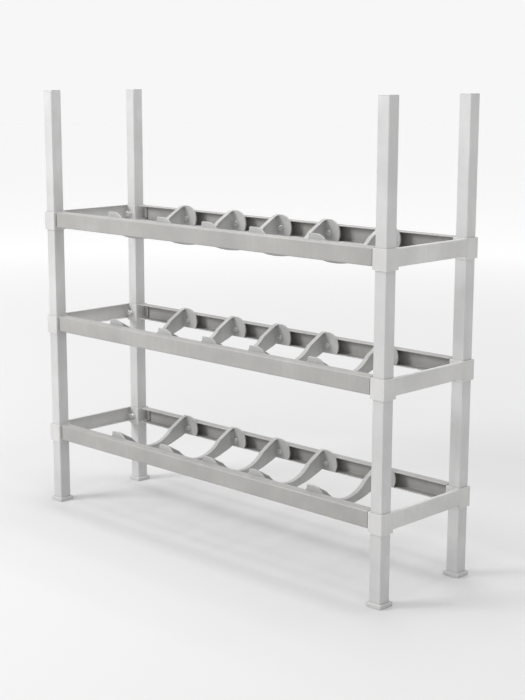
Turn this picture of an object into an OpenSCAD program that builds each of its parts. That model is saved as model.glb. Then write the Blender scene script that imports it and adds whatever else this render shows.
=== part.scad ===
// Tyre storage rack. Four square posts on foot plates carry three tiers. A tier is a front and a rear
// channel beam hung on four clamped collars, two side rails that tie the collars front to back, and a
// row of curved saddles, bolted across the beams, that each cradle one upright tyre.
// X runs along the rack, Y from front to back, Z up. The origin is on the floor, at the middle.

/* [Posts] */
// Distance between post centres along the rack
posts_long = 2092; // [1740:2:2600]
// Distance between post centres from front to back
posts_deep = 521; // [430:1:640]
// Height from the floor to the top of the post caps
rack_height = 2060; // [1700:5:2500]
// Outer width of a post
post_width = 60; // [50:1:80]
// Wall of a post
post_wall = 3; // [2:0.5:5]
// Corner radius of a post
post_corner = 5; // [3:0.5:8]
// Thickness of a foot plate
foot_thick = 18; // [6:1:24]
// How far a foot plate stands out round its post
foot_margin = 10; // [4:1:30]
// Thickness of the head of a post cap
cap_thick = 4; // [2:0.5:10]
// Depth of the plug under a post cap
cap_plug = 20; // [8:1:40]

/* [Tiers] */
// Top edge of the bottom tier above the floor
bottom_tier_top = 399; // [330:1:480]
// Top edge of the middle tier above the floor
middle_tier_top = 955; // [860:1:1050]
// Top edge of the top tier above the floor
top_tier_top = 1472; // [1380:1:1560]
// Height of the beams and side rails
rail_height = 75; // [62:1:95]
// Sheet that the beams and side rails are folded from
rail_sheet = 4; // [2:0.5:5.5]
// Outside radius of the folds in the beams and side rails
rail_fold = 6; // [6:0.5:9]
// Depth of a beam's flanges, from its outer face
beam_depth = 48; // [38:1:60]
// How far a beam's outer face sits behind the face of its collars
beam_recess = 11; // [4:1:16]
// Gap between the end of a beam and its collar
beam_end_gap = 10; // [3:1:20]
// Depth of a side rail's lips, from its outer face
side_lip = 16; // [8:1:24]

/* [Collars] */
// Wall of a collar
collar_wall = 6.5; // [5:0.5:10]
// Gap between a collar and its post, all round
collar_gap = 1.5; // [0.5:0.1:3]
// Height of a collar
collar_height = 87; // [70:1:120]
// Corner radius of a collar
collar_corner = 5; // [3:0.5:8]
// Length of a collar's tongue inside its beam
tongue_reach = 20; // [15:1:60]
// Thickness of a collar's tongue
tongue_thick = 8; // [5:0.5:12]
// Gap between the edges of a tongue and the folds of its beam
tongue_gap = 1; // [0.5:0.5:4]

/* [Saddles] */
// Distance between the three middle saddles
saddle_inner_pitch = 297; // [240:1:340]
// Distance from an end saddle to the one beside it
saddle_outer_pitch = 345; // [280:1:400]
// How far the saddle row sits right of the rack's middle
saddle_row_shift = 20; // [-30:1:30]
// Radius of the tyre seat
seat_radius = 178; // [170:1:190]
// Depth of the tyre seat below the top of the tier
seat_drop = 87; // [70:1:110]
// Rise of a saddle's two ears above the top of the tier
crest_rise = 24; // [10:1:40]
// Half the width of the tyre seat, to where its horns begin
seat_half = 130; // [110:1:150]
// Radius of the bend from the seat into a horn
horn_bend = 30; // [15:1:50]
// Radius of the arch from a horn into its ear
crest_bend = 60; // [20:1:80]
// Depth of a saddle's web below the bottom of the seat
web_belly = 36; // [20:1:60]
// Sheet of a saddle's web
web_sheet = 6; // [3:0.5:10]
// Width of the rim along the top of a saddle
rim_width = 22; // [8:1:30]
// Thickness of the rim along the top of a saddle
rim_thick = 5; // [3:0.5:8]
// Thickness of a saddle's ears
ear_thick = 8; // [5:0.5:10]
// Distance from the middle of an ear to its web
ear_offset = 28; // [20:1:40]
// Width of the tab that an ear is bolted to
tab_width = 96; // [60:1:120]
// Thickness of the tab that an ear is bolted to
tab_thick = 8; // [5:0.5:12]

/* [Fasteners] */
// Diameter of the bolts and clamp screws
bolt_dia = 16; // [10:1:18]
// Gap round a bolt in its clearance hole
hole_gap = 0.5; // [0.3:0.1:1]
// Gap between a thread and its nut or tapped hole
thread_gap = 0.1; // [0.05:0.05:0.2]
// Gap between the tip of a clamp screw and its post
tip_gap = 0.3; // [0.2:0.1:1]

/* [Hidden] */
$fn = 64;
HEX = 6;

TIERS = ["bottom", "middle", "top"];
TIER_TOPS = [bottom_tier_top, middle_tier_top, top_tier_top];
CORNERS = ["front_left", "front_right", "rear_left", "rear_right"];
CORNER_SIDES = [[-1, -1], [1, -1], [-1, 1], [1, 1]];
ENDS = ["left", "right"];
FACES = ["front", "rear"];
SIDES = [-1, 1];
SADDLES = [1 : 5];

tier_index = [0 : len(TIERS) - 1];
corner_index = [0 : len(CORNERS) - 1];

paint = "silver";
paint_shade = "darkgray";
zinc = "gainsboro";

// Posts and collars
post_x = posts_long / 2;
post_y = posts_deep / 2;
post_inside = post_width - 2 * post_wall;
plug_gap = 0.2;
foot_width = post_width + 2 * foot_margin;
collar_inside = post_width + 2 * collar_gap;
collar_width = collar_inside + 2 * collar_wall;
collar_inner_x = post_x - collar_width / 2;
collar_inner_y = post_y - collar_width / 2;
screw_z = -collar_height / 2;

// Beams and side rails
beam_face_y = post_y + collar_width / 2 - beam_recess;
beam_web_y = beam_face_y - rail_sheet;
beam_mouth_y = beam_face_y - beam_depth;
beam_length = 2 * (collar_inner_x - beam_end_gap);
fold_inside = rail_fold - rail_sheet;
mouth_height = rail_height - 2 * rail_sheet;
middle_z = -rail_height / 2;
side_face_x = post_x + collar_width / 2;
side_length = 2 * collar_inner_y;

// Tongues
tongue_height = mouth_height - 2 * (fold_inside + tongue_gap);
tongue_length = tongue_reach + beam_end_gap;

// Saddles: the seat is an arc that bends, tangent all the way, into a straight horn at each end, and
// the horn arches over into its ear. Points are [y, z] for the rear horn. The bend starts where the
// seat is seat_half wide, and the horn is the line that touches the bend and the arch from above. Web
// and rim end inside the ears, which stand ear_lip proud of the rim.
arc_step = 5;
ear_lip = 2;
ear_corner = 3 * ear_lip;
ear_trim = 3;
web_foot_rise = 4;
ear_face_y = beam_mouth_y - ear_thick;
web_end_y = ear_face_y + ear_thick / 2;
seat_centre = [0, seat_radius - seat_drop];
join_angle = -acos(seat_half / seat_radius);
bend_centre = seat_centre + (seat_radius + horn_bend) * heading(join_angle);
crest_centre = [web_end_y, crest_rise - ear_lip - crest_bend];
horn_reach = crest_centre - bend_centre;
horn_slope = atan2(horn_reach[1], horn_reach[0]) - asin((horn_bend - crest_bend) / norm(horn_reach));
ear_radius = crest_rise - middle_z;
ear_bottom = -rail_height + ear_trim;
ear_side = ear_offset + rim_width / 2 + ear_lip;
ear_side_angle = acos(-ear_side / ear_radius);
ear_foot_angle = asin((ear_bottom - middle_z) / ear_radius);
web_foot_z = ear_bottom + web_foot_rise;
belly_z = -seat_drop - web_belly;
belly_rise = web_foot_z - belly_z;
belly_radius = (web_end_y ^ 2 + belly_rise ^ 2) / (2 * belly_rise);
belly_angle = asin(web_end_y / belly_radius);

// Fasteners
hole_radius = bolt_dia / 2 + hole_gap;
thread_radius = bolt_dia / 2 - thread_gap;
head_across = 1.5 * bolt_dia;
head_radius = head_across / sqrt(3);
head_height = 0.62 * bolt_dia;
nut_height = 0.83 * bolt_dia;
thread_spare = 4;
lock_nut_height = 0.6 * bolt_dia;
screw_stand_off = 6;

function saddle_x(s) =
    saddle_row_shift + sign(s - 3) * (abs(s - 3) > 0 ? saddle_inner_pitch : 0)
    + sign(s - 3) * (abs(s - 3) > 1 ? saddle_outer_pitch : 0);

function heading(angle) = [cos(angle), sin(angle)];

function arc(centre, radius, from, to) =
    let (steps = ceil(abs(to - from) / arc_step))
    [for (i = [0 : steps]) centre + radius * heading(from + (to - from) * i / steps)];

function reverse(points) = [for (i = [len(points) - 1 : -1 : 0]) points[i]];

// The rear half of the line that runs a given distance under the seat, its bend, its horn and its
// arch. The last point of the seat is the first of the bend, so only the bend gives it.
function half_line(under) =
    let (
        seat = arc(seat_centre, seat_radius + under, -90, join_angle),
        bend = arc(bend_centre, horn_bend - under, join_angle + 180, horn_slope + 90),
        arch = arc(crest_centre, crest_bend - under, horn_slope + 90, 90)
    )
    concat([for (i = [0 : len(seat) - 2]) seat[i]], bend, arch);

// The whole of that line, from the front to the rear
function seat_line(under) =
    let (half = half_line(under))
    concat([for (i = [len(half) - 1 : -1 : 1]) [-half[i][0], half[i][1]]], half);

// A square of the given width with true round corners
module round_square(width, corner) {
    square([width, width - 2 * corner], center = true);
    square([width - 2 * corner, width], center = true);
    for (x = SIDES, y = SIDES)
        translate([x, y] * (width / 2 - corner)) circle(corner);
}

// Section of a folded channel: web on the right, flanges to the left, top edge at 0
module channel_section(depth) {
    translate([-depth, -rail_height]) difference() {
        union() {
            square([depth - rail_fold, rail_height]);
            translate([0, rail_fold]) square([depth, rail_height - 2 * rail_fold]);
            for (z = [rail_fold, rail_height - rail_fold])
                translate([depth - rail_fold, z]) circle(rail_fold);
        }
        translate([-1, rail_sheet])
            square([depth - rail_fold + 1, mouth_height]);
        translate([0, rail_fold])
            square([depth - rail_sheet, rail_height - 2 * rail_fold]);
        if (fold_inside > 0)
            for (z = [rail_fold, rail_height - rail_fold])
                translate([depth - rail_fold, z]) circle(fold_inside);
    }
}

// Lay a section drawn in Y and Z along X, centred, with its length given
module along_x(length) {
    translate([-length / 2, 0, 0]) rotate([90, 0, 90]) linear_extrude(length) children();
}

// Raise a plate drawn in X and Z, from y towards +Y
module plate_y(y, thick) {
    translate([0, y + thick, 0]) rotate([90, 0, 0]) linear_extrude(thick) children();
}

// A round bar along Y, from y0 to y1
module bar_y(radius, y0, y1) {
    translate([0, y0, 0]) rotate([-90, 0, 0]) cylinder(r = radius, h = y1 - y0);
}

// A hexagon along Y, from y0 to y1
module hex_y(y0, y1) {
    translate([0, y0, 0]) rotate([-90, 0, 0]) cylinder(r = head_radius, h = y1 - y0, $fn = HEX);
}

// A hexagon nut along Y, from y0 to y1, with its threaded bore
module nut_y(y0, y1) {
    difference() {
        hex_y(y0, y1);
        bar_y(bolt_dia / 2, y0 - 1, y1 + 1);
    }
}

module post() {
    color(paint) translate([0, 0, foot_thick])
        linear_extrude(rack_height - foot_thick - cap_thick) difference() {
            round_square(post_width, post_corner);
            round_square(post_inside, max(post_corner - post_wall, 0.5));
        }
}

module foot_plate() {
    color(paint) linear_extrude(foot_thick) round_square(foot_width, post_corner);
}

module post_cap() {
    plug_width = post_inside - 2 * plug_gap;
    color(paint_shade) {
        translate([0, 0, rack_height - cap_thick]) linear_extrude(cap_thick)
            round_square(post_width, post_corner);
        translate([0, 0, rack_height - cap_thick - cap_plug]) linear_extrude(cap_plug + cap_thick / 2)
            round_square(plug_width, max(post_corner - post_wall, 0.5));
    }
}

// Collar of the rear right post: a square sleeve with its tongue reaching left into the rear beam
module collar() {
    color(paint) difference() {
        union() {
            translate([0, 0, -collar_height]) linear_extrude(collar_height) difference() {
                round_square(collar_width, collar_corner);
                round_square(collar_inside, post_corner);
            }
            tongue();
        }
        translate([0, 0, screw_z]) bar_y(bolt_dia / 2, -collar_width, 0);
    }
}

module tongue() {
    root = collar_wall / 2;
    translate([-collar_width / 2 - tongue_length, 0, 0])
        plate_y(beam_web_y - tongue_thick - post_y, tongue_thick)
            translate([0, middle_z - tongue_height / 2]) square([tongue_length + root, tongue_height]);
}

module side_rail() {
    color(paint_shade) rotate([0, 0, 90]) mirror([0, 1, 0]) along_x(side_length)
        translate([side_face_x, 0]) channel_section(side_lip);
}

module beam() {
    color(paint_shade) along_x(beam_length) translate([beam_face_y, 0]) channel_section(beam_depth);
}

// Web of a saddle, from inside its rim down to its bellied lower edge
module web() {
    along_x(web_sheet) polygon(concat(
        seat_line(rim_thick / 2),
        arc([0, belly_z + belly_radius], belly_radius, belly_angle - 90, -belly_angle - 90)
    ));
}

module rim() {
    along_x(rim_width) polygon(concat(seat_line(0), reverse(seat_line(rim_thick))));
}

// Ear of a saddle: round on its free side, with a square shoulder behind the end of the rim
module ear() {
    plate_y(ear_face_y, ear_thick) difference() {
        polygon(concat(
            arc([0, middle_z], ear_radius, ear_foot_angle, 90),
            arc([ear_corner - ear_side, crest_rise - ear_corner], ear_corner, 90, 180),
            arc([0, middle_z], ear_radius, ear_side_angle, 180 - ear_foot_angle)
        ));
        translate([0, middle_z]) circle(hole_radius);
    }
}

module saddle() {
    color(paint) {
        translate([-ear_offset, 0, 0]) {
            web();
            rim();
        }
        ear();
        mirror([0, 1, 0]) ear();
    }
}

// Tab welded across the mouth of the rear beam. A saddle's bolt passes through it to its nut.
module saddle_tab() {
    color(paint_shade) plate_y(beam_mouth_y, tab_thick) difference() {
        translate([-tab_width / 2, -rail_sheet - mouth_height]) square([tab_width, mouth_height]);
        translate([0, middle_z]) circle(hole_radius);
    }
}

module saddle_bolt() {
    tip_y = beam_mouth_y + tab_thick + nut_height + thread_spare;
    color(zinc) translate([0, 0, middle_z]) {
        hex_y(ear_face_y - head_height, ear_face_y);
        bar_y(thread_radius, ear_face_y - 1, tip_y);
    }
}

module saddle_nut() {
    nut_y0 = beam_mouth_y + tab_thick;
    color(zinc) translate([0, 0, middle_z]) nut_y(nut_y0, nut_y0 + nut_height);
}

// Clamp screw of a rear collar, with its lock nut against the collar
module clamp_screw() {
    tip_y = post_y - post_width / 2 - tip_gap;
    nut_y1 = collar_inner_y;
    nut_y0 = nut_y1 - lock_nut_height;
    head_y1 = nut_y0 - screw_stand_off;
    color(zinc) translate([0, 0, screw_z]) {
        hex_y(head_y1 - head_height, head_y1);
        bar_y(thread_radius, head_y1 - 1, tip_y);
        nut_y(nut_y0, nut_y1);
    }
}

// Turn what is drawn for the rear right corner to another corner
module at_corner(sides) {
    mirror([sides[0] > 0 ? 0 : 1, 0, 0]) mirror([0, sides[1] > 0 ? 0 : 1, 0]) children();
}

module at_post(sides) {
    at_corner(sides) translate([post_x, post_y, 0]) children();
}

module at_face(side) {
    mirror([0, side > 0 ? 0 : 1, 0]) children();
}

module at_end(side) {
    mirror([side > 0 ? 0 : 1, 0, 0]) children();
}

// Repeat a fastener at both ends of every saddle
module at_ears() {
    for (s = SADDLES, side = SIDES) translate([saddle_x(s), 0, 0]) at_face(side) children();
}

module foot_plates() {
    for (sides = CORNER_SIDES) at_post(sides) foot_plate();
}

module post_caps() {
    for (sides = CORNER_SIDES) at_post(sides) post_cap();
}

module saddle_tabs() {
    at_ears() saddle_tab();
}

module saddle_bolts() {
    at_ears() saddle_bolt();
}

module nuts() {
    at_ears() saddle_nut();
}

module clamp_screws() {
    for (sides = CORNER_SIDES) at_corner(sides) translate([post_x, 0, 0]) clamp_screw();
}

for (c = corner_index)
    at_post(CORNER_SIDES[c]) post();
foot_plates();
post_caps();

for (t = tier_index) translate([0, 0, TIER_TOPS[t]]) {
    for (c = corner_index)
        at_post(CORNER_SIDES[c]) collar();
    for (e = [0, 1])
        at_end(SIDES[e]) side_rail();
    for (f = [0, 1])
        at_face(SIDES[f]) beam();
    for (s = SADDLES)
        translate([saddle_x(s), 0, 0]) saddle();
    saddle_tabs();
    saddle_bolts();
    nuts();
    clamp_screws();
}
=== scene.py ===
"""Tyre storage rack: painted posts, three clamped tiers of channel beams, and a row of tyre saddles."""

import logging
import math
from dataclasses import dataclass, field
from enum import Enum
from typing import Iterable

import bmesh
import bpy
from mathutils import Matrix, Vector


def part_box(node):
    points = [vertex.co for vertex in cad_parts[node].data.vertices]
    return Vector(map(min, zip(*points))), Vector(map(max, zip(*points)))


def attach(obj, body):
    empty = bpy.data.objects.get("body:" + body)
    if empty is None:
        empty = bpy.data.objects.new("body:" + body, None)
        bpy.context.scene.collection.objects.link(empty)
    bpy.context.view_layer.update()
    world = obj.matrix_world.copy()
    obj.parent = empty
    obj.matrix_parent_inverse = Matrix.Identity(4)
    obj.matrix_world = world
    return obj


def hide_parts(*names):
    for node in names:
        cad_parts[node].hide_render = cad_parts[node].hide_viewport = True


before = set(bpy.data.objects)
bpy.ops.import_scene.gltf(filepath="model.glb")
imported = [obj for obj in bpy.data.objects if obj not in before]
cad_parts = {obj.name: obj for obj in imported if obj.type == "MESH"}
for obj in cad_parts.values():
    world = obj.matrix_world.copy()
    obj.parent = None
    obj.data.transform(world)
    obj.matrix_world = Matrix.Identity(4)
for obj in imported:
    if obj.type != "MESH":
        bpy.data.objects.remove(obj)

BMesh = bmesh.types.BMesh
BMVert = bmesh.types.BMVert
Material = bpy.types.Material
Socket = bpy.types.NodeSocket

LOG = logging.getLogger("tyre_rack")
MM = 0.001
SAME_PLACE = 1e-6  # how near two points are when they count as one, in metres
FACING = 0.9  # how closely a normal follows an axis when its face counts as facing along it
ROUND_STEPS = 5  # parts of a rounded corner or fold
ROUND_SIDES = 24  # sides of a round bar or bore
RIPPLE = 3.2 * MM  # from one ripple of a weld to the next


class Axis(Enum):
    """An axis of the rack: along it, or from its front to its back."""

    ALONG = 0
    DEEP = 1


class Tier(Enum):
    """The three tiers, by the prefix of their nodes."""

    BOTTOM = "bottom"
    MIDDLE = "middle"
    TOP = "top"

    @property
    def body(self) -> str:
        """The body that the tier's pieces ride on."""
        return f"{self.value}_tier"


class Corner(Enum):
    """The four corners of the rack, each with its side along X and along Y."""

    FRONT_LEFT = (-1, -1)
    FRONT_RIGHT = (1, -1)
    REAR_LEFT = (-1, 1)
    REAR_RIGHT = (1, 1)

    @property
    def label(self) -> str:
        """The corner's name as the nodes spell it."""
        return self.name.lower()


# ---------------------------------------------------------------------------------------------- finishes


class Nodes:
    """A small helper that adds and links the shader nodes of one material."""

    def __init__(self, name: str) -> None:
        """Start a material.

        Args:
            name: The material's name.
        """
        self.material = bpy.data.materials.new(name)
        self.material.use_nodes = True
        self.tree = self.material.node_tree
        self.shader = self.tree.nodes["Principled BSDF"]
        self.place = self.add("ShaderNodeTexCoord").outputs["Object"]

    def add(self, kind: str, **settings: object) -> bpy.types.Node:
        """Add a node.

        Args:
            kind: The node's type.
            settings: Values for its sockets by name, with _ for a space, or for its own properties.

        Returns:
            The new node.
        """
        node = self.tree.nodes.new(kind)
        for key, value in settings.items():
            socket = node.inputs.get(key.replace("_", " "))
            if socket is None:
                setattr(node, key, value)
            else:
                socket.default_value = value
        return node

    def link(self, source: Socket, target: Socket) -> None:
        """Link two sockets.

        Args:
            source: An output.
            target: An input.
        """
        self.tree.links.new(source, target)

    def noise(self, scale: float, detail: float,
              stretch: tuple[float, float, float] = (1, 1, 1)) -> Socket:
        """A noise pattern on Object coordinates.

        Args:
            scale: Cells per metre.
            detail: Octaves.
            stretch: How much finer the pattern is along each axis.

        Returns:
            The noise's value, from 0 to 1.
        """
        mapping = self.add("ShaderNodeMapping", Scale=stretch)
        self.link(self.place, mapping.inputs["Vector"])
        texture = self.add("ShaderNodeTexNoise", Scale=scale, Detail=detail, Roughness=0.55)
        self.link(mapping.outputs["Vector"], texture.inputs["Vector"])
        return texture.outputs["Fac"]

    def spread(self, value: Socket, low: float, high: float, to_low: float = 0.0,
               to_high: float = 1.0) -> Socket:
        """Map a range of values to another, clamped.

        Args:
            value: What is mapped.
            low: The value that becomes to_low.
            high: The value that becomes to_high.
            to_low: The result at low.
            to_high: The result at high.

        Returns:
            The mapped value.
        """
        ranged = self.add("ShaderNodeMapRange", From_Min=low, From_Max=high, To_Min=to_low, To_Max=to_high)
        self.link(value, ranged.inputs["Value"])
        return ranged.outputs["Result"]

    def blend(self, share: Socket, first: object, second: object) -> Socket:
        """Mix two colours.

        Args:
            share: How much of the second shows.
            first: A colour, or the socket of one.
            second: A colour, or the socket of one.

        Returns:
            The mixed colour.
        """
        mix = self.add("ShaderNodeMix", data_type="RGBA")
        self.link(share, mix.inputs["Factor"])
        for value, socket in ((first, mix.inputs[6]), (second, mix.inputs[7])):
            if isinstance(value, Socket):
                self.link(value, socket)
            else:
                socket.default_value = (*value, 1.0)
        return mix.outputs[2]

    def bump(self, height: Socket, strength: float, distance: float,
             under: Socket | None = None) -> Socket:
        """Raise a surface by a pattern.

        Args:
            height: The pattern.
            strength: How much of it shows.
            distance: The height of its tallest part, in metres.
            under: The normal of a coarser bump under this one, if there is one.

        Returns:
            The new normal.
        """
        raised = self.add("ShaderNodeBump", Strength=strength, Distance=distance)
        self.link(height, raised.inputs["Height"])
        if under is not None:
            self.link(under, raised.inputs["Normal"])
        return raised.outputs["Normal"]


@dataclass(frozen=True)
class Paint:
    """A satin powder coat: soft mottling, orange peel, faint runs, and edges painted a little brighter as a
    painted highlight that partly stands in for paint wear.
    """

    name: str
    colour: tuple[float, float, float]
    shade: tuple[float, float, float]
    highlight_and_wear_colour: tuple[float, float, float]
    roughness: float = 0.36
    peel: float = 0.10
    edge: float = 2.2 * MM
    lumps: float = 0.0
    cloud_cells: float = 5.0
    run_cells: float = 14.0
    run_stretch: tuple[float, float, float] = (3.0, 3.0, 0.5)
    run_share: float = 0.45
    gloss_cells: float = 22.0
    peel_cells: float = 420.0
    peel_height: float = 0.25 * MM
    lump_cells: float = 160.0
    lump_height: float = 1.2 * MM
    # Patches that break up the painted edge highlight and wear.
    highlight_and_wear_cells: float = 45.0
    least_highlight_and_wear: float = 0.45

    def build(self) -> Material:
        """Build the paint.

        Returns:
            The material.
        """
        nodes = Nodes(self.name)
        nodes.shader.inputs["Metallic"].default_value = 0.0
        nodes.shader.inputs["Specular IOR Level"].default_value = 0.5
        cloud = nodes.spread(nodes.noise(self.cloud_cells, 4.0), 0.35, 0.68)
        streaks = nodes.noise(self.run_cells, 3.0, self.run_stretch)
        runs = nodes.spread(streaks, 0.42, 0.72, 0.0, self.run_share)
        body = nodes.blend(runs, nodes.blend(cloud, self.colour, self.shade), self.shade)
        # Edges blend towards a pale colour: a painted highlight along the edges, partly also paint wear.
        nodes.link(nodes.blend(self._edges(nodes), body, self.highlight_and_wear_colour), nodes.shader.inputs["Base Color"])
        patches = nodes.noise(self.gloss_cells, 5.0)
        gloss = nodes.spread(patches, 0.3, 0.7, self.roughness - 0.07, self.roughness + 0.10)
        nodes.link(gloss, nodes.shader.inputs["Roughness"])
        normal = nodes.bump(nodes.noise(self.peel_cells, 2.0), self.peel, self.peel_height)
        if self.lumps > 0:
            lumpy = nodes.noise(self.lump_cells, 4.0)
            normal = nodes.bump(lumpy, self.lumps, self.lump_height, under=normal)
        nodes.link(normal, nodes.shader.inputs["Normal"])
        return nodes.material

    def _edges(self, nodes: Nodes) -> Socket:
        """Find how close each point is to an outer edge, broken up so that the painted edge highlight and
        wear are uneven.

        Args:
            nodes: The material in the making.

        Returns:
            The painted edge highlight and wear, from 0 to 1.
        """
        # Near an edge the bevelled normal parts from the true normal; this mask places the painted edge
        # highlight.
        soft = nodes.add("ShaderNodeBevel", samples=6, Radius=self.edge)
        true = nodes.add("ShaderNodeNewGeometry")
        match = nodes.add("ShaderNodeVectorMath", operation="DOT_PRODUCT")
        nodes.link(soft.outputs["Normal"], match.inputs[0])
        nodes.link(true.outputs["Normal"], match.inputs[1])
        near = nodes.spread(match.outputs["Value"], 0.80, 0.995, 1.0, 0.0)
        patchy = nodes.spread(nodes.noise(self.highlight_and_wear_cells, 4.0), 0.35, 0.6, self.least_highlight_and_wear)
        highlight_and_wear = nodes.add("ShaderNodeMath", operation="MULTIPLY")
        nodes.link(near, highlight_and_wear.inputs[0])
        nodes.link(patchy, highlight_and_wear.inputs[1])
        return highlight_and_wear.outputs["Value"]


@dataclass(frozen=True)
class Zinc:
    """Bright zinc plate with fine turning marks across the thread."""

    name: str = "zinc_plate"
    colour: tuple[float, float, float] = (0.92, 0.93, 0.94)
    dull: tuple[float, float, float] = (0.74, 0.75, 0.75)
    pitch: float = 2.0 * MM

    def build(self) -> Material:
        """Build the plate.

        Returns:
            The material.
        """
        nodes = Nodes(self.name)
        nodes.shader.inputs["Metallic"].default_value = 1.0
        patch = nodes.spread(nodes.noise(180.0, 4.0), 0.38, 0.65)
        nodes.link(nodes.blend(patch, self.colour, self.dull), nodes.shader.inputs["Base Color"])
        gloss = nodes.spread(nodes.noise(320.0, 3.0), 0.3, 0.7, 0.18, 0.34)
        nodes.link(gloss, nodes.shader.inputs["Roughness"])
        turned = nodes.add("ShaderNodeTexWave", Scale=1.0 / (20.0 * self.pitch), Distortion=0.0)
        turned.bands_direction = "Y"
        nodes.link(nodes.place, turned.inputs["Vector"])
        nodes.link(nodes.bump(turned.outputs["Fac"], 0.25, 0.3 * MM), nodes.shader.inputs["Normal"])
        return nodes.material


@dataclass(frozen=True)
class Plastic:
    """Matt moulded plastic with a fine spark-eroded grain."""

    name: str = "cap_plastic"
    colour: tuple[float, float, float] = (0.50, 0.51, 0.51)
    shade: tuple[float, float, float] = (0.44, 0.45, 0.45)

    def build(self) -> Material:
        """Build the plastic.

        Returns:
            The material.
        """
        nodes = Nodes(self.name)
        cloud = nodes.spread(nodes.noise(60.0, 3.0), 0.35, 0.65)
        nodes.link(nodes.blend(cloud, self.colour, self.shade), nodes.shader.inputs["Base Color"])
        gloss = nodes.spread(nodes.noise(90.0, 3.0), 0.3, 0.7, 0.48, 0.62)
        nodes.link(gloss, nodes.shader.inputs["Roughness"])
        nodes.link(nodes.bump(nodes.noise(1500.0, 2.0), 0.2, 0.1 * MM), nodes.shader.inputs["Normal"])
        return nodes.material


@dataclass(frozen=True)
class Finishes:
    """Every finish on the rack, built once and shared."""

    posts: Material
    tiers: Material
    beams: Material
    saddles: Material
    welds: Material
    zinc: Material
    plastic: Material

    @classmethod
    def build(cls) -> "Finishes":
        """Build them all.

        Returns:
            The finishes.
        """
        # The pale colour that every paint's edges blend towards: a painted edge highlight, partly also
        # paint wear.
        bright = (0.80, 0.80, 0.79)
        posts = Paint("post_paint", (0.52, 0.52, 0.518), (0.45, 0.45, 0.448), bright, edge=3.0 * MM)
        tiers = Paint("tier_paint", (0.55, 0.547, 0.535), (0.47, 0.467, 0.457), bright, edge=3.0 * MM)
        beams = Paint("beam_paint", (0.335, 0.329, 0.316), (0.28, 0.275, 0.265), bright, edge=3.5 * MM)
        saddles = Paint("saddle_paint", (0.40, 0.40, 0.395), (0.32, 0.32, 0.315), bright,
                        peel=0.18, lumps=0.12)
        welds = Paint("weld_paint", (0.46, 0.46, 0.45), (0.33, 0.33, 0.325), bright,
                      roughness=0.42, lumps=0.55)
        every = (posts, tiers, beams, saddles, welds, Zinc(), Plastic())
        return cls(*(finish.build() for finish in every))


# ------------------------------------------------------------------------------------------- mesh helpers


@dataclass(frozen=True)
class Edges:
    """How a piece's sheet and edges are finished by modifiers."""

    bevel: float = 0.8 * MM
    segments: int = 2
    wall: float = 0.0
    sharpest: float = math.radians(40)


def settle(name: str, mesh: BMesh, finish: Material, body: str,
           stands_for: Iterable[str] = (), edges: Edges = Edges()) -> bpy.types.Object:
    """Turn a finished bmesh into a piece of the rack.

    Args:
        name: The piece's name.
        mesh: Its mesh, in place. It is freed.
        finish: Its material.
        body: The body that it rides on.
        stands_for: The nodes that it replaces.
        edges: How its sheet and edges are finished.

    Returns:
        The piece.
    """
    data = bpy.data.meshes.new(name)
    for face in mesh.faces:
        face.smooth = True
    mesh.to_mesh(data)
    mesh.free()
    data.materials.append(finish)
    piece = bpy.data.objects.new(name, data)
    bpy.context.scene.collection.objects.link(piece)
    if edges.wall > 0:
        wall = piece.modifiers.new("wall", "SOLIDIFY")
        wall.thickness = edges.wall
        wall.offset = -1.0
        wall.use_even_offset = True
    if edges.bevel > 0:
        rounded = piece.modifiers.new("edges", "BEVEL")
        rounded.width = edges.bevel
        rounded.segments = edges.segments
        rounded.limit_method = "ANGLE"
        rounded.angle_limit = edges.sharpest
    shading = piece.modifiers.new("shading", "WEIGHTED_NORMAL")
    shading.keep_sharp = True
    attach(piece, body)
    if stands_for:
        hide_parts(*stands_for)
    LOG.info("%s: %d faces, rides on %s", name, len(data.polygons), body)
    return piece


def add_copy(mesh: BMesh, part: BMesh) -> None:
    """Move a part that was made apart into a mesh.

    Args:
        mesh: Where it goes.
        part: The part. It is freed.
    """
    holder = bpy.data.meshes.new("part")
    part.to_mesh(holder)
    part.free()
    mesh.from_mesh(holder)
    bpy.data.meshes.remove(holder)


def vertices(items: Iterable[object]) -> list[BMVert]:
    """Pick the vertices out of what an operator made."""
    return [item for item in items if isinstance(item, BMVert)]


def round_edges(mesh: BMesh, edges: Iterable[bmesh.types.BMEdge], radius: float,
                steps: int = ROUND_STEPS) -> None:
    """Round or chamfer some edges.

    Args:
        mesh: Where they are.
        edges: The edges.
        radius: How far the rounding reaches.
        steps: How many parts it has.
    """
    bmesh.ops.bevel(mesh, geom=list(edges), offset=radius, offset_type="OFFSET", segments=steps,
                    profile=0.5, affect="EDGES", material=-1)


def thicken(mesh: BMesh, faces: Iterable[bmesh.types.BMFace], depth: Vector) -> None:
    """Turn a flat outline into a closed plate.

    Args:
        mesh: Where it is.
        faces: The outline's faces.
        depth: The way across the plate.
    """
    raised = bmesh.ops.extrude_face_region(mesh, geom=list(faces))["geom"]
    bmesh.ops.translate(mesh, vec=depth, verts=vertices(raised))
    bmesh.ops.recalc_face_normals(mesh, faces=mesh.faces[:])


def block(mesh: BMesh, one: Vector, other: Vector) -> list[BMVert]:
    """Add a block.

    Args:
        mesh: Where it is added.
        one: One of its corners.
        other: The corner opposite.

    Returns:
        Its vertices.
    """
    size = [abs(value) for value in other - one]
    place = Matrix.Translation((one + other) / 2) @ Matrix.Diagonal((*size, 1.0))
    return bmesh.ops.create_cube(mesh, size=1.0, matrix=place)["verts"]


def round_uprights(mesh: BMesh, verts: Iterable[BMVert], radius: float) -> None:
    """Round the upright edges of a block.

    Args:
        mesh: Where the block is.
        verts: The block's vertices.
        radius: The corners' radius.
    """
    upright = dict.fromkeys(
        edge for vert in verts for edge in vert.link_edges
        if (edge.verts[0].co - edge.verts[1].co).xy.length < SAME_PLACE
    )
    round_edges(mesh, upright, radius)


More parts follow.
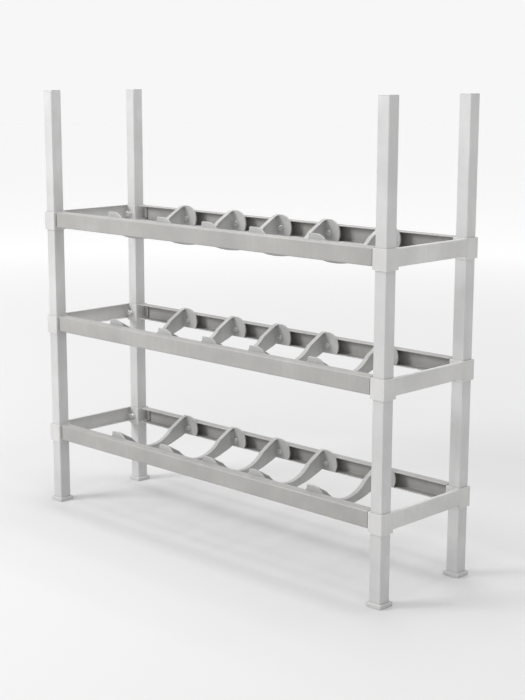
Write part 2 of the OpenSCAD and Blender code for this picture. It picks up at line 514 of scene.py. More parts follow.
def square_sleeve(mesh: BMesh, centre: Vector, outer: float, inner: float, corner: float,
                  low: float, high: float) -> None:
    """Add an upright square tube with a true inner wall.

    Args:
        mesh: Where it is added.
        centre: The tube's centre in plan.
        outer: Its outer width.
        inner: Its inner width.
        corner: The radius of its outer corners.
        low: The height of its lower end.
        high: The height of its upper end.
    """
    tube = bmesh.new()
    half = outer / 2
    foot = Vector((centre.x - half, centre.y - half, low))
    head = Vector((centre.x + half, centre.y + half, high))
    round_uprights(tube, block(tube, foot, head), corner)
    tube.normal_update()
    ends = [face for face in tube.faces if abs(face.normal.z) > FACING]
    bmesh.ops.inset_region(tube, faces=ends, thickness=(outer - inner) / 2, use_even_offset=True)
    tube.normal_update()
    middles = [
        face for face in tube.faces
        if abs(face.normal.z) > FACING and (face.calc_center_median().xy - centre.xy).length < corner
    ]
    rims = [edge for face in middles for edge in face.edges]
    bmesh.ops.delete(tube, geom=middles, context="FACES_ONLY")
    bmesh.ops.bridge_loops(tube, edges=rims)
    bmesh.ops.recalc_face_normals(tube, faces=tube.faces[:])
    add_copy(mesh, tube)


def channel(low: Vector, high: Vector, along: Axis, side: int, fold: float) -> BMesh:
    """Make the outer skin of a folded channel: a web on one side and a flange above and below.

    Args:
        low: The channel's lowest corner.
        high: Its highest corner.
        along: The axis that it runs along.
        side: -1 or 1, the side that its web faces.
        fold: The outer radius of its folds.

    Returns:
        The mesh, with its faces outwards and no thickness yet.
    """
    mesh = bmesh.new()
    across = 1 - along.value
    face_at, mouth_at = (high[across], low[across]) if side > 0 else (low[across], high[across])
    line = []
    for depth, height in ((mouth_at, high.z), (face_at, high.z), (face_at, low.z), (mouth_at, low.z)):
        point = Vector((0.0, 0.0, height))
        point[along.value] = low[along.value]
        point[across] = depth
        line.append(mesh.verts.new(point))
    section = [mesh.edges.new(pair) for pair in zip(line, line[1:])]
    run = Vector((0.0, 0.0, 0.0))
    run[along.value] = high[along.value] - low[along.value]
    made = bmesh.ops.extrude_edge_only(mesh, edges=section)["geom"]
    bmesh.ops.translate(mesh, vec=run, verts=vertices(made))
    mesh.normal_update()
    round_edges(mesh, [edge for edge in mesh.edges if len(edge.link_faces) == 2], fold)
    mesh.normal_update()
    web = max(mesh.faces, key=lambda face: abs(face.normal[across]) * face.calc_area())
    if web.normal[across] * side < 0:
        bmesh.ops.reverse_faces(mesh, faces=mesh.faces[:])
    return mesh


def rod(mesh: BMesh, centre: Vector, radius: float, length: float, chamfer: float,
        sides: int = ROUND_SIDES) -> None:
    """Add a bar along Y, round or with flats, with both its ends chamfered.

    Args:
        mesh: Where it is added.
        centre: The bar's middle.
        radius: The radius to its corners.
        length: Its length.
        chamfer: The width of the chamfers.
        sides: Its number of sides.
    """
    bar = bmesh.new()
    turn = Matrix.Rotation(math.pi / 2, 4, "X") @ Matrix.Rotation(math.pi / 2, 4, "Z")
    bmesh.ops.create_cone(bar, cap_ends=True, segments=sides, radius1=radius, radius2=radius,
                          depth=length, matrix=Matrix.Translation(centre) @ turn)
    bar.normal_update()
    ends = [face for face in bar.faces if abs(face.normal.y) > FACING]
    round_edges(bar, dict.fromkeys(edge for face in ends for edge in face.edges), chamfer, 2)
    add_copy(mesh, bar)


def bead(mesh: BMesh, path: list[Vector], radius: float, closed: bool = False) -> None:
    """Lay a weld bead with its ripples along a path.

    Args:
        mesh: Where it is added.
        path: Points along the seam, one for each ripple or trough.
        radius: The bead's radius.
        closed: Whether the seam comes back to its start.
    """
    sides, trough = 8, 0.82
    last = len(path) - 1
    rings = []
    for index, point in enumerate(path):
        ahead = path[(index + 1) % len(path)] if closed else path[min(index + 1, last)]
        behind = path[index - 1] if closed else path[max(index - 1, 0)]
        turn = (ahead - behind).to_track_quat("Z", "Y").to_matrix().to_4x4()
        width = radius * (1.0 if index % 2 else trough)
        capped = not closed and index in (0, last)
        ring = bmesh.ops.create_circle(mesh, cap_ends=capped, segments=sides, radius=width,
                                       matrix=Matrix.Translation(point) @ turn)["verts"]
        rings.append(list(dict.fromkeys(edge for vert in ring for edge in vert.link_edges)))
    pairs = list(zip(rings, rings[1:])) + ([(rings[-1], rings[0])] if closed else [])
    for one, other in pairs:
        bmesh.ops.bridge_loops(mesh, edges=one + other)


def curve_on(mesh: BMesh, vert: BMVert, centre: Vector, axis: Vector, angle: float, steps: int) -> BMVert:
    """Carry a line on from a vertex along an arc.

    Args:
        mesh: Where the line is.
        vert: The line's last vertex.
        centre: The arc's centre.
        axis: The direction that the arc turns about.
        angle: How far it turns.
        steps: How many parts it has.

    Returns:
        The line's new last vertex.
    """
    turned = bmesh.ops.spin(mesh, geom=[vert], cent=centre, axis=axis, angle=angle, steps=steps)
    return vertices(turned["geom_last"])[0]


def run_on(mesh: BMesh, vert: BMVert, point: Vector) -> BMVert:
    """Carry a line on from a vertex, straight to a point.

    Args:
        mesh: Where the line is.
        vert: The line's last vertex.
        point: Where the line goes.

    Returns:
        The line's new last vertex.
    """
    added = bmesh.ops.extrude_vert_indiv(mesh, verts=[vert])["verts"][0]
    bmesh.ops.translate(mesh, vec=point - added.co, verts=[added])
    return added


def stepped(start: Vector, end: Vector, step: float) -> list[Vector]:
    """Points along a straight seam.

    Args:
        start: Its start.
        end: Its end.
        step: About how far apart they are.

    Returns:
        The points, both ends with them.
    """
    count = max(2, round((end - start).length / step))
    return [start.lerp(end, index / count) for index in range(count + 1)]


# ------------------------------------------------------------------------------------------ sub-assemblies


@dataclass
class Frame:
    """The four posts, with their foot plates and caps."""

    finishes: Finishes
    wall: float = 3 * MM
    corner: float = 5 * MM
    foot_margin: float = 10 * MM
    foot_round: float = 3 * MM
    cap_round: float = 1.2 * MM
    cap_plug: float = 20 * MM
    plug_gap: float = 0.2 * MM
    weld: float = 2.6 * MM

    def build(self) -> None:
        """Build the posts, the foot plates, their welds and the caps."""
        feet, caps, welds = bmesh.new(), bmesh.new(), bmesh.new()
        foot_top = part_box("foot_plates")[1].z
        cap_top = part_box("post_caps")[1].z
        for corner in Corner:
            low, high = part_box(f"post_{corner.label}")
            self._post(corner, low, high)
            self._foot(feet, low, high, foot_top)
            self._cap(caps, low, high, cap_top)
            self._foot_weld(welds, low, high, foot_top)
        settle("foot_plates_rounded", feet, self.finishes.posts, "frame", ["foot_plates"],
               Edges(self.foot_round, 4))
        settle("post_caps_moulded", caps, self.finishes.plastic, "frame", ["post_caps"],
               Edges(self.cap_round, 3))
        settle("foot_plate_welds", welds, self.finishes.welds, "frame", (), Edges(0.0))

    def _post(self, corner: Corner, low: Vector, high: Vector) -> None:
        """Build one post.

        Args:
            corner: Which post it is.
            low: Its lowest corner.
            high: Its highest corner.
        """
        mesh = bmesh.new()
        width = high.x - low.x
        square_sleeve(mesh, (low + high) / 2, width, width - 2 * self.wall, self.corner, low.z, high.z)
        settle(f"post_{corner.label}_tube", mesh, self.finishes.posts, "frame",
               [f"post_{corner.label}"], Edges(0.4 * MM, 2))

    def _foot(self, mesh: BMesh, low: Vector, high: Vector, top: float) -> None:
        """Add one foot plate.

        Args:
            mesh: Where it is added.
            low: Its post's lowest corner.
            high: Its post's highest corner.
            top: The height of the plate's top.
        """
        spread = Vector((self.foot_margin, self.foot_margin, 0.0))
        corner_low, corner_high = low - spread, high + spread
        corner_low.z, corner_high.z = 0.0, top
        round_uprights(mesh, block(mesh, corner_low, corner_high), self.corner)

    def _cap(self, mesh: BMesh, low: Vector, high: Vector, top: float) -> None:
        """Add one cap, its head on the post and its plug inside.

        Args:
            mesh: Where it is added.
            low: Its post's lowest corner.
            high: Its post's highest corner.
            top: The height of the cap's top.
        """
        head = block(mesh, Vector((low.x, low.y, high.z)), Vector((high.x, high.y, top)))
        round_uprights(mesh, head, self.corner)
        inside = Vector((1.0, 1.0, 0.0)) * (self.wall + self.plug_gap)
        plug_low, plug_high = low + inside, high - inside
        plug_low.z, plug_high.z = high.z - self.cap_plug, high.z
        round_uprights(mesh, block(mesh, plug_low, plug_high), self.corner - self.wall)

    def _foot_weld(self, mesh: BMesh, low: Vector, high: Vector, top: float) -> None:
        """Lay the weld round the foot of one post.

        Args:
            mesh: Where it is added.
            low: The post's lowest corner.
            high: The post's highest corner.
            top: The height of the plate's top.
        """
        corners = ((low.x, low.y), (high.x, low.y), (high.x, high.y), (low.x, high.y))
        points = [Vector((x, y, top)) for x, y in corners]
        path = []
        for start, end in zip(points, points[1:] + points[:1]):
            path += stepped(start, end, RIPPLE)[:-1]
        bead(mesh, path, self.weld, closed=True)


@dataclass
class Fasteners:
    """The bolts, nuts and clamp screws of one tier, all along Y."""

    tier: Tier
    finishes: Finishes
    width: float = 16 * MM
    flats_share: float = 1.5
    head_share: float = 0.62
    nut_share: float = 0.83
    lock_share: float = 0.6
    thread_gap: float = 0.1 * MM
    spare: float = 4 * MM
    stand_off: float = 6 * MM
    chamfer: float = 0.9 * MM
    tip_gap: float = 0.3 * MM

    @property
    def thread(self) -> float:
        """The radius of the thread."""
        return self.width / 2 - self.thread_gap

    @property
    def corners(self) -> float:
        """The radius to a hexagon's corners."""
        return self.flats_share * self.width / math.sqrt(3)

    @property
    def head(self) -> float:
        """The height of a head."""
        return self.head_share * self.width

    @property
    def nut(self) -> float:
        """The height of a nut."""
        return self.nut_share * self.width

    @property
    def lock_nut(self) -> float:
        """The height of a lock nut."""
        return self.lock_share * self.width

    def hexagon(self, mesh: BMesh, x: float, start: float, end: float, z: float) -> None:
        """Add a solid hexagon, such as a head.

        Args:
            mesh: Where it is added.
            x: Its place along the rack.
            start: Where it starts in Y, the face that it bears on.
            end: Where it ends in Y.
            z: Its height.
        """
        centre = Vector((x, (start + end) / 2, z))
        rod(mesh, centre, self.corners, abs(end - start), self.chamfer, 6)

    def ring(self, mesh: BMesh, x: float, start: float, end: float, z: float) -> None:
        """Add a hexagon nut with its bore.

        Args:
            mesh: Where it is added.
            x: Its place along the rack.
            start: One end in Y.
            end: The other end in Y.
            z: Its height.
        """
        nut = bmesh.new()
        centre = Vector((x, (start + end) / 2, z))
        place = Matrix.Translation(centre) @ Matrix.Rotation(math.pi / 2, 4, "X")
        bmesh.ops.create_cone(nut, cap_ends=True, segments=ROUND_SIDES, radius1=self.corners,
                              radius2=self.corners, depth=abs(end - start), matrix=place)
        flat = self.corners * math.cos(math.pi / 6)
        for vert in nut.verts:
            spoke = vert.co - centre
            turn = math.atan2(spoke.z, spoke.x) % (math.pi / 3) - math.pi / 6
            self._set_spoke(nut, vert, centre, flat / math.cos(turn))
        nut.normal_update()
        bores = [face for face in nut.faces if abs(face.normal.y) > FACING]
        outer = [edge for face in bores for edge in face.edges]
        bmesh.ops.inset_region(nut, faces=bores, thickness=self.chamfer, use_even_offset=True)
        for face in bores:
            for vert in face.verts:
                self._set_spoke(nut, vert, centre, self.width / 2)
        rims = [edge for face in bores for edge in face.edges]
        bmesh.ops.delete(nut, geom=bores, context="FACES_ONLY")
        bmesh.ops.bridge_loops(nut, edges=rims)
        bmesh.ops.recalc_face_normals(nut, faces=nut.faces[:])
        round_edges(nut, outer, self.chamfer, 2)
        add_copy(mesh, nut)

    def _set_spoke(self, mesh: BMesh, vert: BMVert, centre: Vector, radius: float) -> None:
        """Move a vertex along its spoke to a radius about a line along Y.

        Args:
            mesh: Where the vertex is.
            vert: The vertex.
            centre: A point on the line.
            radius: The vertex's new radius.
        """
        spoke = vert.co - centre
        spoke.y = 0.0
        bmesh.ops.translate(mesh, vec=spoke * (radius / spoke.length - 1.0), verts=[vert])

    def bar(self, mesh: BMesh, x: float, start: float, end: float, z: float) -> None:
        """Add a threaded bar.

        Args:
            mesh: Where it is added.
            x: Its place along the rack.
            start: One end in Y.
            end: The other end in Y.
            z: Its height.
        """
        rod(mesh, Vector((x, (start + end) / 2, z)), self.thread, abs(end - start), self.chamfer)

    def settle_all(self, groups: dict[str, BMesh]) -> None:
        """Turn the groups into pieces.

        Args:
            groups: Each node's name, without the tier, and its mesh.
        """
        for name, mesh in groups.items():
            node = f"{self.tier.value}_{name}"
            settle(f"{node}_plated", mesh, self.finishes.zinc, self.tier.body, [node], Edges(0.0))


@dataclass
class Saddle:
    """One tyre saddle: a thin web, the rim along its top, an ear at each end and the welds between them."""

    tier: Tier
    number: int
    finishes: Finishes
    seat_radius: float = 178 * MM
    seat_drop: float = 87 * MM
    seat_half: float = 130 * MM
    horn_bend: float = 30 * MM
    crest_bend: float = 60 * MM
    crest: float = 24 * MM
    belly: float = 36 * MM
    web: float = 6 * MM
    rim_width: float = 22 * MM
    rim_thick: float = 5 * MM
    ear_thick: float = 8 * MM
    ear_offset: float = 28 * MM
    ear_lip: float = 2 * MM
    ear_corner: float = 6 * MM
    ear_trim: float = 3 * MM
    web_foot_rise: float = 4 * MM
    rail_height: float = 75 * MM
    plate_round: float = 0.9 * MM
    weld: float = 2.4 * MM
    weld_step: float = 4 * MM
    weld_foot: float = 2 * MM
    weld_top: float = 8 * MM
    seat_steps: int = 12
    bend_steps: int = 6
    free_steps: int = 24
    near_steps: int = 14
    box: tuple[Vector, Vector] = field(init=False)

    def __post_init__(self) -> None:
        """Read where the saddle's node is."""
        self.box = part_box(self.node)

    @property
    def node(self) -> str:
        """The node that the saddle stands for."""
        return f"{self.tier.value}_saddle_{self.number}"

    @property
    def centre_x(self) -> float:
        """The middle of the ears along the rack."""
        return (self.box[0].x + self.box[1].x) / 2

    @property
    def web_x(self) -> float:
        """The middle of the web along the rack."""
        return self.centre_x - self.ear_offset

    @property
    def top(self) -> float:
        """The top of the tier, which the ears rise above."""
        return self.box[1].z - self.crest

    @property
    def ear_face(self) -> float:
        """The inner face of the rear ear in Y."""
        return self.box[1].y - self.ear_thick

    @property
    def seat_centre(self) -> Vector:
        """The centre of the tyre seat, in the web's plane."""
        return Vector((self.web_x, 0.0, self.top + self.seat_radius - self.seat_drop))

    @property
    def bend_centre(self) -> Vector:
        """The centre of the bend at the rear, in the web's plane."""
        reach = (self.seat_radius + self.horn_bend) / self.seat_radius
        fall = math.sqrt(self.seat_radius**2 - self.seat_half**2)
        return self.seat_centre + Vector((0.0, self.seat_half, -fall)) * reach

    @property
    def join_angle(self) -> float:
        """The angle at the seat's centre from its lowest point to the bend."""
        return math.asin(self.seat_half / self.seat_radius)

    @property
    def crest_centre(self) -> Vector:
        """The centre of the arch from the rear horn into its ear, in the web's plane."""
        height = self.top + self.crest - self.ear_lip - self.crest_bend
        return Vector((self.web_x, self.ear_face + self.ear_thick / 2, height))

    @property
    def ear_foot(self) -> float:
        """The height of the flat foot of the ears."""
        return self.top - self.rail_height + self.ear_trim

    @property
    def horn_slope(self) -> float:
        """The slope of the horn that touches the bend and the arch."""
        reach = self.crest_centre - self.bend_centre
        return math.atan2(reach.z, reach.y) - math.asin((self.horn_bend - self.crest_bend) / reach.length)

    def line(self, under: float) -> list[Vector]:
        """Trace the seat, its bends, horns and arches, a given distance under them, from front to rear.

        Args:
            under: The distance.

        Returns:
            Points along the line, in the web's plane.
        """
        trace = bmesh.new()
        across = Vector((1.0, 0.0, 0.0))
        vert = trace.verts.new(self.seat_centre - Vector((0.0, 0.0, self.seat_radius + under)))
        vert = curve_on(trace, vert, self.seat_centre, across, self.join_angle, self.seat_steps)
        turn = self.horn_slope - self.join_angle
        vert = curve_on(trace, vert, self.bend_centre, across, turn, self.bend_steps)
        upwards = Vector((0.0, -math.sin(self.horn_slope), math.cos(self.horn_slope)))
        vert = run_on(trace, vert, self.crest_centre + (self.crest_bend - under) * upwards)
        curve_on(trace, vert, self.crest_centre, across, -self.horn_slope, self.bend_steps)
        half = sorted((vert.co.copy() for vert in trace.verts), key=lambda point: point.y)
        trace.free()
        front = [Vector((point.x, -point.y, point.z)) for point in reversed(half[1:])]
        return front + half

    def build(self) -> None:
        """Build the saddle and its welds."""
        mesh = bmesh.new()
        self._rim(mesh)
        self._web(mesh)
        for side in (-1, 1):
            self._ear(mesh, side)
        settle(f"{self.node}_plates", mesh, self.finishes.saddles, self.tier.body,
               [self.node], Edges(self.plate_round, 2))
        settle(f"{self.node}_welds", self._welds(), self.finishes.welds, self.tier.body,
               (), Edges(0.0))

    def _strip(self, mesh: BMesh, above: list[Vector], below: list[Vector], width: float) -> None:
        """Add a plate between an upper and a lower line, with its thickness along the rack.

        Args:
            mesh: Where it is added.
            above: The upper line.
            below: The lower line, with as many points.
            width: The thickness.
        """
        plate = bmesh.new()
        loops = []
        for line in (above, below):
            verts = [plate.verts.new(point - Vector((width / 2, 0.0, 0.0))) for point in line]
            loops += [plate.edges.new(pair) for pair in zip(verts, verts[1:])]
        faces = bmesh.ops.bridge_loops(plate, edges=loops)["faces"]
        thicken(plate, faces, Vector((width, 0.0, 0.0)))
        add_copy(mesh, plate)

    def _rim(self, mesh: BMesh) -> None:
        """Add the rim.

        Args:
            mesh: Where it is added.
        """
        self._strip(mesh, self.line(0.0), self.line(self.rim_thick), self.rim_width)

    def _web(self, mesh: BMesh) -> None:
        """Add the web, from inside the rim down to its bellied lower edge.

        Args:
            mesh: Where it is added.
        """
        above = self.line(self.rim_thick / 2)
        end = above[-1].y
        foot = self.ear_foot + self.web_foot_rise
        low = self.top - self.seat_drop - self.belly
        rise = foot - low
        radius = (end**2 + rise**2) / (2 * rise)
        below = [Vector((self.web_x, p.y, low + radius - math.sqrt(radius**2 - p.y**2))) for p in above]
        self._strip(mesh, above, below, self.web)

    def _ear(self, mesh: BMesh, side: int) -> None:
        """Add one ear: a flat foot, a round free side and a square shoulder behind the end of the rim.

        Args:
            mesh: Where it is added.
            side: -1 for the front and 1 for the rear.
        """
        ear = bmesh.new()
        centre = Vector((self.centre_x, side * self.ear_face, self.top - self.rail_height / 2))
        crest = self.top + self.crest
        radius = crest - centre.z
        shoulder = self.ear_offset + self.rim_width / 2 + self.ear_lip
        foot_angle = math.asin((self.ear_foot - centre.z) / radius)
        side_angle = math.acos(-shoulder / radius)
        backwards = Vector((0.0, -1.0, 0.0))
        corner = Vector((centre.x - shoulder + self.ear_corner, centre.y, crest - self.ear_corner))
        outwards = Vector((math.cos(foot_angle), 0.0, math.sin(foot_angle)))
        first = ear.verts.new(centre + radius * outwards)
        vert = curve_on(ear, first, centre, backwards, math.pi / 2 - foot_angle, self.free_steps)
        vert = run_on(ear, vert, corner + Vector((0.0, 0.0, self.ear_corner)))
        vert = curve_on(ear, vert, corner, backwards, math.pi / 2, ROUND_STEPS)
        vert = run_on(ear, vert, centre + radius * Vector((-shoulder / radius, 0.0, math.sin(side_angle))))
        vert = curve_on(ear, vert, centre, backwards, math.pi - foot_angle - side_angle, self.near_steps)
        ear.edges.new((vert, first))
        bmesh.ops.contextual_create(ear, geom=ear.edges[:])
        thicken(ear, ear.faces[:], Vector((0.0, side * self.ear_thick, 0.0)))
        add_copy(mesh, ear)

    def _welds(self) -> BMesh:
        """Lay the beads under the rim and where the web meets the ears.

        Returns:
            Their mesh.
        """
        mesh = bmesh.new()
        seam = self.line(self.rim_thick)
        dense = []
        for start, end in zip(seam, seam[1:]):
            dense += stepped(start, end, self.weld_step)[:-1]
        dense.append(seam[-1])
        foot = self.ear_foot + self.web_foot_rise + self.weld_foot
        for side in (-1, 1):
            beside = Vector((side * self.web / 2, 0.0, 0.0))
            bead(mesh, [point + beside for point in dense if abs(point.y) < self.ear_face], self.weld)
            for face in (-1, 1):
                low = Vector((self.web_x, face * self.ear_face, foot)) + beside
                high = Vector((low.x, low.y, self.top + self.weld_top))
                bead(mesh, stepped(low, high, self.weld_step), self.weld)
        return mesh


@dataclass
class TierFrame:
    """One tier: its collars, side rails, beams, tabs, saddles and fasteners."""

    tier: Tier
    finishes: Finishes
    sheet: float = 4 * MM
    fold: float = 6 * MM
    sheet_round: float = 0.7 * MM
    plate_round: float = 0.8 * MM
    collar_round: float = 1.2 * MM
    collar_width: float = 76 * MM
    collar_inside: float = 63 * MM
    collar_corner: float = 5 * MM
    tongue_thick: float = 8 * MM
    tongue_half: float = 30.5 * MM
    tongue_root: float = 3 * MM
    seam: float = 3.6 * MM
    tab_width: float = 96 * MM
    tab_thick: float = 8 * MM
    saddle_count: int = 5

    def node(self, name: str) -> str:
        """The full name of one of the tier's nodes."""
        return f"{self.tier.value}_{name}"

    @property
    def beam(self) -> tuple[Vector, Vector]:
        """The box of the rear beam."""
        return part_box(self.node("beam_rear"))

    @property
    def middle_z(self) -> float:
        """The height of the middle of the beams."""
        return (self.beam[0].z + self.beam[1].z) / 2

    def build(self) -> None:
        """Build the whole tier."""
        for corner in Corner:
            self._collar(corner)
        for side, face in ((-1, "front"), (1, "rear")):
            self._channel(f"beam_{face}", Axis.ALONG, side)
        for side, end in ((-1, "left"), (1, "right")):
            self._channel(f"side_rail_{end}", Axis.DEEP, side)
        saddles = [Saddle(self.tier, number, self.finishes) for number in range(1, self.saddle_count + 1)]
        for saddle in saddles:
            saddle.build()
        self._tabs(saddles)
        self._seams()
        self._fasteners(saddles)

    def _channel(self, name: str, along: Axis, side: int) -> None:
        """Build a beam or a side rail.

        Args:
            name: Its node's name without the tier.
            along: The axis that it runs along.
            side: -1 or 1, the side that its web faces.
        """
        low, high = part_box(self.node(name))
        mesh = channel(low, high, along, side, self.fold)
        paint = self.finishes.beams if along is Axis.ALONG else self.finishes.tiers
        settle(f"{self.node(name)}_sheet", mesh, paint, self.tier.body,
               [self.node(name)], Edges(self.sheet_round, 2, self.sheet))

    def _collar(self, corner: Corner) -> None:
        """Build a collar with its tongue.

        Args:
            corner: Which collar it is.
        """
        side_x, side_y = corner.value
        node = self.node(f"collar_{corner.label}")
        low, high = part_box(node)
        post_low, post_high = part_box(f"post_{corner.label}")
        centre = (post_low + post_high) / 2
        mesh = bmesh.new()
        square_sleeve(mesh, centre, self.collar_width, self.collar_inside, self.collar_corner,
                      low.z, high.z)
        settle(f"{node}_sleeve", mesh, self.finishes.tiers, self.tier.body, [node],
               Edges(self.collar_round, 3))
        tongue = bmesh.new()
        reach = low.x if side_x > 0 else high.x
        root = centre.x - side_x * (self.collar_width / 2 - self.tongue_root)
        face = side_y * (self.beam[1].y - self.sheet)
        back = face - side_y * self.tongue_thick
        block(tongue, Vector((reach, face, self.middle_z - self.tongue_half)),
              Vector((root, back, self.middle_z + self.tongue_half)))
        settle(f"{node}_tongue", tongue, self.finishes.beams, self.tier.body, (),
               Edges(self.plate_round, 2))

    def _seams(self) -> None:
        """Lay the flush welds that close the grooves between the collars and the side rails."""
        mesh = bmesh.new()
        for corner in Corner:
            side_x, side_y = corner.value
            low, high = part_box(self.node(f"side_rail_{'right' if side_x > 0 else 'left'}"))
            x = (high.x if side_x > 0 else low.x) - side_x * self.seam
            y = high.y if side_y > 0 else low.y
            inset = Vector((0.0, 0.0, self.seam))
            foot, head = Vector((x, y, low.z)) + inset, Vector((x, y, high.z)) - inset
            bead(mesh, stepped(foot, head, RIPPLE), self.seam)
        settle(self.node("rail_seams"), mesh, self.finishes.tiers, self.tier.body, (),
               Edges(0.0))

    def _tabs(self, saddles: list[Saddle]) -> None:
        """Build the tabs across the beams' mouths.

        Args:
            saddles: The tier's saddles.
        """
        mesh = bmesh.new()
        half = (self.beam[1].z - self.beam[0].z) / 2 - self.sheet
        for saddle in saddles:
            for side in (-1, 1):
                left, right = saddle.centre_x - self.tab_width / 2, saddle.centre_x + self.tab_width / 2
                mouth, inside = side * self.beam[0].y, side * (self.beam[0].y + self.tab_thick)
                block(mesh, Vector((left, mouth, self.middle_z - half)),
                      Vector((right, inside, self.middle_z + half)))
        node = self.node("saddle_tabs")
        settle(f"{node}_plates", mesh, self.finishes.tiers, self.tier.body, [node],
               Edges(self.plate_round, 2))

    def _fasteners(self, saddles: list[Saddle]) -> None:
        """Build the tier's bolts, nuts and clamp screws.

        Args:
            saddles: The tier's saddles.
        """
        kit = Fasteners(self.tier, self.finishes)
        groups = {name: bmesh.new() for name in ("saddle_bolts", "nuts", "clamp_screws")}
        z = self.middle_z
        for saddle in saddles:
            for side in (-1, 1):
                ear, tab = side * saddle.ear_face, side * (self.beam[0].y + self.tab_thick)
                kit.hexagon(groups["saddle_bolts"], saddle.centre_x, ear, ear - side * kit.head, z)
                kit.bar(groups["saddle_bolts"], saddle.centre_x, ear, tab + side * (kit.nut + kit.spare), z)
                kit.ring(groups["nuts"], saddle.centre_x, tab, tab + side * kit.nut, z)
        for corner in Corner:
            self._clamp_screw(kit, groups["clamp_screws"], corner)
        kit.settle_all(groups)

    def _clamp_screw(self, kit: Fasteners, mesh: BMesh, corner: Corner) -> None:
        """Add the clamp screw of one collar, with its lock nut.

        Args:
            kit: The fasteners' sizes.
            mesh: Where it is added.
            corner: Which collar it is.
        """
        _, side_y = corner.value
        post_low, post_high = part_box(f"post_{corner.label}")
        collar_low, collar_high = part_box(self.node(f"collar_{corner.label}"))
        centre = (post_low + post_high) / 2
        z = (collar_low.z + collar_high.z) / 2
        bearing = centre.y - side_y * self.collar_width / 2
        post_face = centre.y - side_y * (post_high.x - post_low.x) / 2
        head = bearing - side_y * (kit.lock_nut + kit.stand_off)
        kit.ring(mesh, centre.x, bearing, bearing - side_y * kit.lock_nut, z)
        kit.hexagon(mesh, centre.x, head, head - side_y * kit.head, z)
        kit.bar(mesh, centre.x, head, post_face - side_y * kit.tip_gap, z)


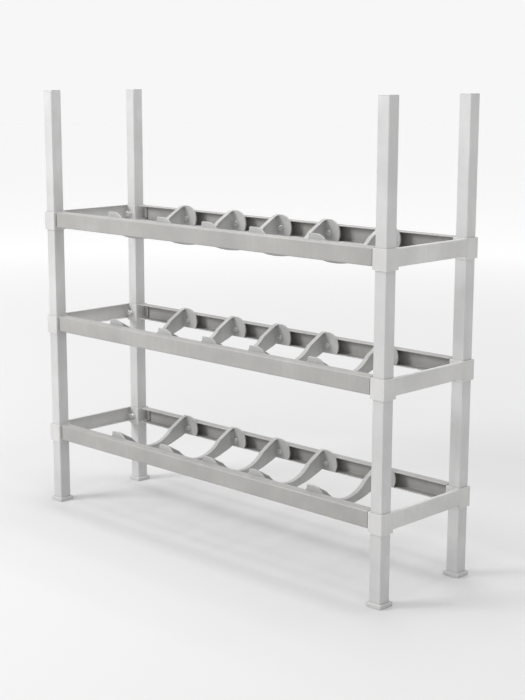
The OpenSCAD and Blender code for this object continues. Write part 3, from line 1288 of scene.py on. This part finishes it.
@dataclass
class Studio:
    """A plain pale floor, soft lights and the camera."""

    distance: float = 6.508
    azimuth: float = 44.89
    elevation: float = 11.093
    target: tuple[float, float, float] = (0.009, 0.0, 0.8901)
    lens: float = 72.57
    shift: tuple[float, float] = (0.0259, -0.00107)
    floor_radius: float = 60.0
    floor_tone: float = 0.56
    fade: tuple[float, float] = (2.0, 11.0)
    sides: int = 96
    wall_radius: float = 55.0
    daylight: float = 0.72
    pale: float = 0.93

    def build(self) -> None:
        """Build the studio."""
        bpy.context.scene.view_settings.view_transform = "Standard"
        self._floor()
        self._backdrop()
        self._world()
        self._light("key", (-4.0, -6.0, 4.5), 3.0, 420.0)
        self._light("fill", (6.5, -3.0, 3.0), 4.0, 60.0)
        self._light("top", (0.0, 0.5, 6.5), 4.0, 260.0)
        self._camera()

    def _floor(self) -> None:
        """Lay the floor, which fades into the backdrop far from the rack."""
        nodes = Nodes("studio_floor")
        reach = nodes.add("ShaderNodeVectorMath", operation="LENGTH")
        nodes.link(nodes.place, reach.inputs[0])
        far = nodes.spread(reach.outputs["Value"], *self.fade)
        near_tone, far_tone = (self.floor_tone,) * 3, (1.0, 1.0, 1.0)
        nodes.link(nodes.blend(far, near_tone, far_tone), nodes.shader.inputs["Base Color"])
        nodes.shader.inputs["Roughness"].default_value = 0.75
        nodes.shader.inputs["Emission Color"].default_value = (1.0, 1.0, 1.0, 1.0)
        glow = nodes.spread(reach.outputs["Value"], *self.fade, 0.0, self.pale - self.daylight)
        nodes.link(glow, nodes.shader.inputs["Emission Strength"])
        mesh = bmesh.new()
        bmesh.ops.create_circle(mesh, cap_ends=True, segments=self.sides, radius=self.floor_radius)
        self._stand("studio_floor", mesh, nodes.material)

    def _backdrop(self) -> None:
        """Hang a plain pale wall all round, far off, that throws no light or shade on the rack."""
        nodes = Nodes("studio_backdrop")
        nodes.shader.inputs["Base Color"].default_value = (0.0, 0.0, 0.0, 1.0)
        nodes.shader.inputs["Specular IOR Level"].default_value = 0.0
        nodes.shader.inputs["Emission Color"].default_value = (1.0, 1.0, 1.0, 1.0)
        nodes.shader.inputs["Emission Strength"].default_value = self.pale
        mesh = bmesh.new()
        bmesh.ops.create_cone(mesh, cap_ends=False, segments=self.sides, radius1=self.wall_radius,
                              radius2=self.wall_radius, depth=2 * self.wall_radius)
        wall = self._stand("studio_backdrop", mesh, nodes.material)
        wall.visible_diffuse = wall.visible_glossy = wall.visible_shadow = False
        wall.visible_transmission = wall.visible_volume_scatter = False

    def _stand(self, name: str, mesh: BMesh, finish: Material) -> bpy.types.Object:
        """Set up a piece of the studio.

        Args:
            name: Its name.
            mesh: Its mesh. It is freed.
            finish: Its material.

        Returns:
            The piece.
        """
        data = bpy.data.meshes.new(name)
        mesh.to_mesh(data)
        mesh.free()
        data.materials.append(finish)
        piece = bpy.data.objects.new(name, data)
        bpy.context.scene.collection.objects.link(piece)
        return piece

    def _world(self) -> None:
        """Light the room softly from all round."""
        world = bpy.data.worlds.new("studio")
        bpy.context.scene.world = world
        world.use_nodes = True
        world.node_tree.nodes["Background"].inputs["Color"].default_value = (1.0, 1.0, 1.0, 1.0)
        world.node_tree.nodes["Background"].inputs["Strength"].default_value = self.daylight

    def _light(self, name: str, place: tuple[float, float, float], size: float, power: float) -> None:
        """Hang a soft light that faces the rack.

        Args:
            name: Its name.
            place: Where it hangs.
            size: Its width.
            power: Its power in watts.
        """
        data = bpy.data.lights.new(name, "AREA")
        data.size = size
        data.energy = power
        lamp = bpy.data.objects.new(name, data)
        lamp.location = place
        lamp.rotation_euler = (Vector(place) - Vector(self.target)).to_track_quat("Z", "Y").to_euler()
        bpy.context.scene.collection.objects.link(lamp)

    def _camera(self) -> None:
        """Set up the camera."""
        turn, tilt = math.radians(self.azimuth), math.radians(self.elevation)
        back = Vector((math.sin(turn) * math.cos(tilt), -math.cos(turn) * math.cos(tilt), math.sin(tilt)))
        data = bpy.data.cameras.new("camera")
        data.sensor_width = 36.0
        data.lens = self.lens
        data.shift_x, data.shift_y = self.shift
        camera = bpy.data.objects.new("camera", data)
        camera.location = Vector(self.target) + self.distance * back
        camera.rotation_euler = (math.pi / 2 - tilt, 0.0, turn)
        bpy.context.scene.collection.objects.link(camera)
        bpy.context.scene.camera = camera


def main() -> None:
    """Build the rack and its studio."""
    logging.basicConfig(level=logging.INFO, format="%(name)s: %(message)s")
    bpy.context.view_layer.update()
    Studio().build()
    finishes = Finishes.build()
    Frame(finishes).build()
    for tier in Tier:
        TierFrame(tier, finishes).build()


if __name__ == "__main__":
    main()
